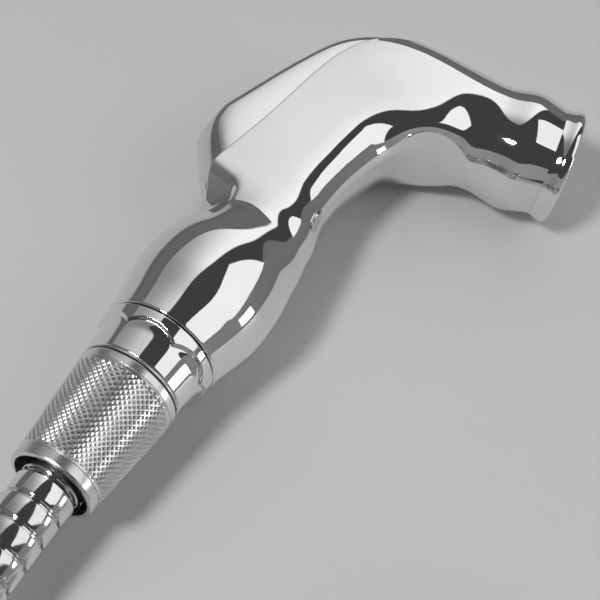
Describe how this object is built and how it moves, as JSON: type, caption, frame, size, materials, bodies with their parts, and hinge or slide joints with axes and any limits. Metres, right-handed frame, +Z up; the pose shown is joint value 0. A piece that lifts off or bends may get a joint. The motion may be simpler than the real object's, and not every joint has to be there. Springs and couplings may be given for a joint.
{
  "type": "handheld bath sprayer",
  "caption": "Handheld sprayer for bathing pets: chrome grip with a long thumb lever, scalloped flow ring, knurled cone nut and a metal hose.",
  "frame": {"origin": "centre of the lying sprayer's bounding box at the surface it lies on (the hose and its fittings left out)", "axes": "+X along the grip from the hose end to the spray head, +Y towards the thumb lever, +Z up from the surface; the sprayer lies on its side and its plane of symmetry is level"},
  "size_m": [0.3333, 0.1816, 0.044],
  "materials": {
    "chrome_body": "mirror-polished chrome plate",
    "chrome_ring": "polished chrome plate with fine streaks",
    "nut_metal": "satin-bright plate, knurled on the cone nut",
    "hose_steel": "polished steel strip, wound in bands",
    "plate_steel": "satin stainless steel",
    "steel": "bright stainless steel",
    "brass": "turned brass",
    "rubber": "matte black rubber",
    "plastic": "white acetal",
    "tie_plastic": "matte black strap"
  },
  "bodies": {
    "sprayer": {"body": "chrome_body", "lever_pivot_pin": "steel", "valve_seat": "brass", "stem_gland": "brass", "stem_o_ring": "rubber", "return_spring": "steel", "nozzle_ring": "chrome_body", "spray_plate": "plate_steel", "nozzle_gasket": "rubber", "flow_distributor": "plastic", "inlet_nipple": "brass", "ring_o_rings": "rubber", "ring_clip": "steel", "throttle_stator": "plastic", "throttle_spacer": "plastic", "hose_washer": "rubber", "filter_screen": "plate_steel", "hose_nut": "nut_metal", "hose_ferrule": "brass", "hose": "hose_steel", "hose_coil": "hose_steel", "hose_tie": "tie_plastic", "hose_tail": "hose_steel", "far_ferrule": "nut_metal", "far_washer": "rubber", "far_nut": "nut_metal"},
    "lever": {"lever": "chrome_body"},
    "stem": {"valve_stem": "brass", "valve_disc": "rubber"},
    "flow_ring": {"control_ring": "chrome_ring", "throttle_rotor": "plastic", "drive_pin": "steel"}
  },
  "joints": [
    {"name": "lever_press", "type": "hinge", "parent": "sprayer", "child": "lever", "pos_m": [0.06101, 0.01301, 0.0162], "axis": [0, 0, 1], "range_deg": [0, 5], "stiffness_Nm_per_rad": 0.76, "springref_deg": -5.73},
    {"name": "stem_slide", "type": "slide", "parent": "sprayer", "child": "stem", "axis": [0, -1, 0], "range_m": [0, 0.0026], "deforming": ["return_spring"]},
    {"name": "ring_turn", "type": "hinge", "parent": "sprayer", "child": "flow_ring", "pos_m": [-0.03999, 0.01501, 0.0162], "axis": [1, 0, 0], "range_deg": [0, 90]}
  ],
  "couplings": [
    {"joint": "stem_slide", "follows": "lever_press", "m_per_rad": 0.029}
  ]
}
